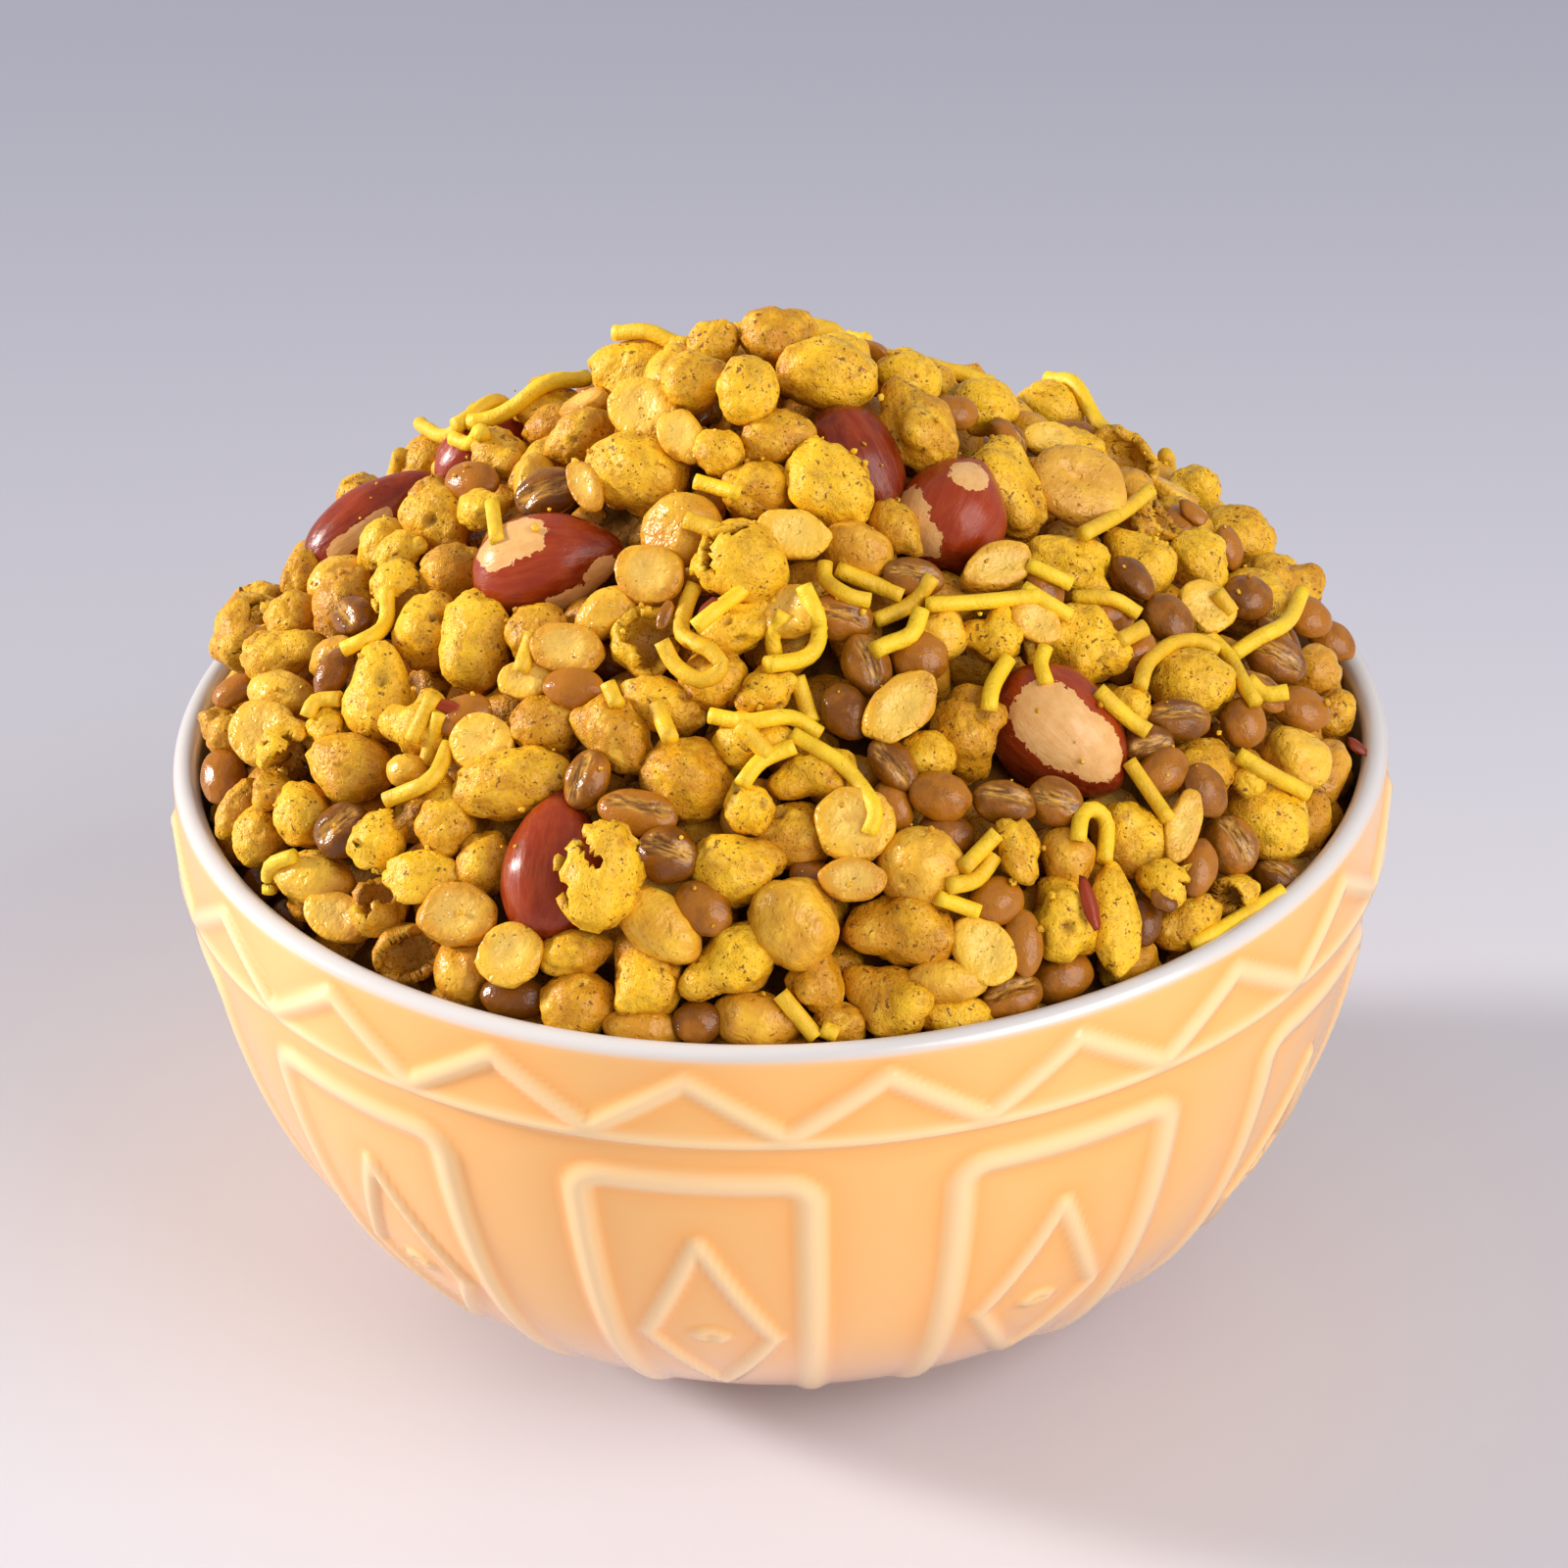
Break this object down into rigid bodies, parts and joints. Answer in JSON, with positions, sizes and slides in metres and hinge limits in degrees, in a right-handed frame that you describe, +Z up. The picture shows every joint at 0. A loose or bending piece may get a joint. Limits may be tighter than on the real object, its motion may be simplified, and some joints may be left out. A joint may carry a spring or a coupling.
{
  "type": "bowl of savoury snack mix",
  "caption": "Small footed glazed bowl with low zigzag and diamond relief, heaped with a savoury mix of puffed gram drops, peanuts, split gram, lentils and thin noodles.",
  "frame": {"origin": "middle of the foot ring, on the surface that the bowl stands on", "axes": "+Z up; -Y faces the viewer; +X to the viewer's right"},
  "size_m": [0.1414, 0.1414, 0.1185],
  "materials": {
    "orange_glaze": "pale orange transparent glaze over low relief, white lip and inside",
    "fried_gram": "matte fried gram-flour crust with brown spice specks",
    "peanut_skin": "glossy red-brown peanut skin with rubbed cream patches",
    "split_gram": "oily fried split gram, pale at the middle",
    "lentil": "glossy brown whole lentil",
    "noodle": "lemon-yellow fried gram-flour noodle"
  },
  "bodies": {
    "root": {"bowl": "orange_glaze", "snack_mix": "fried_gram"}
  },
  "joints": []
}
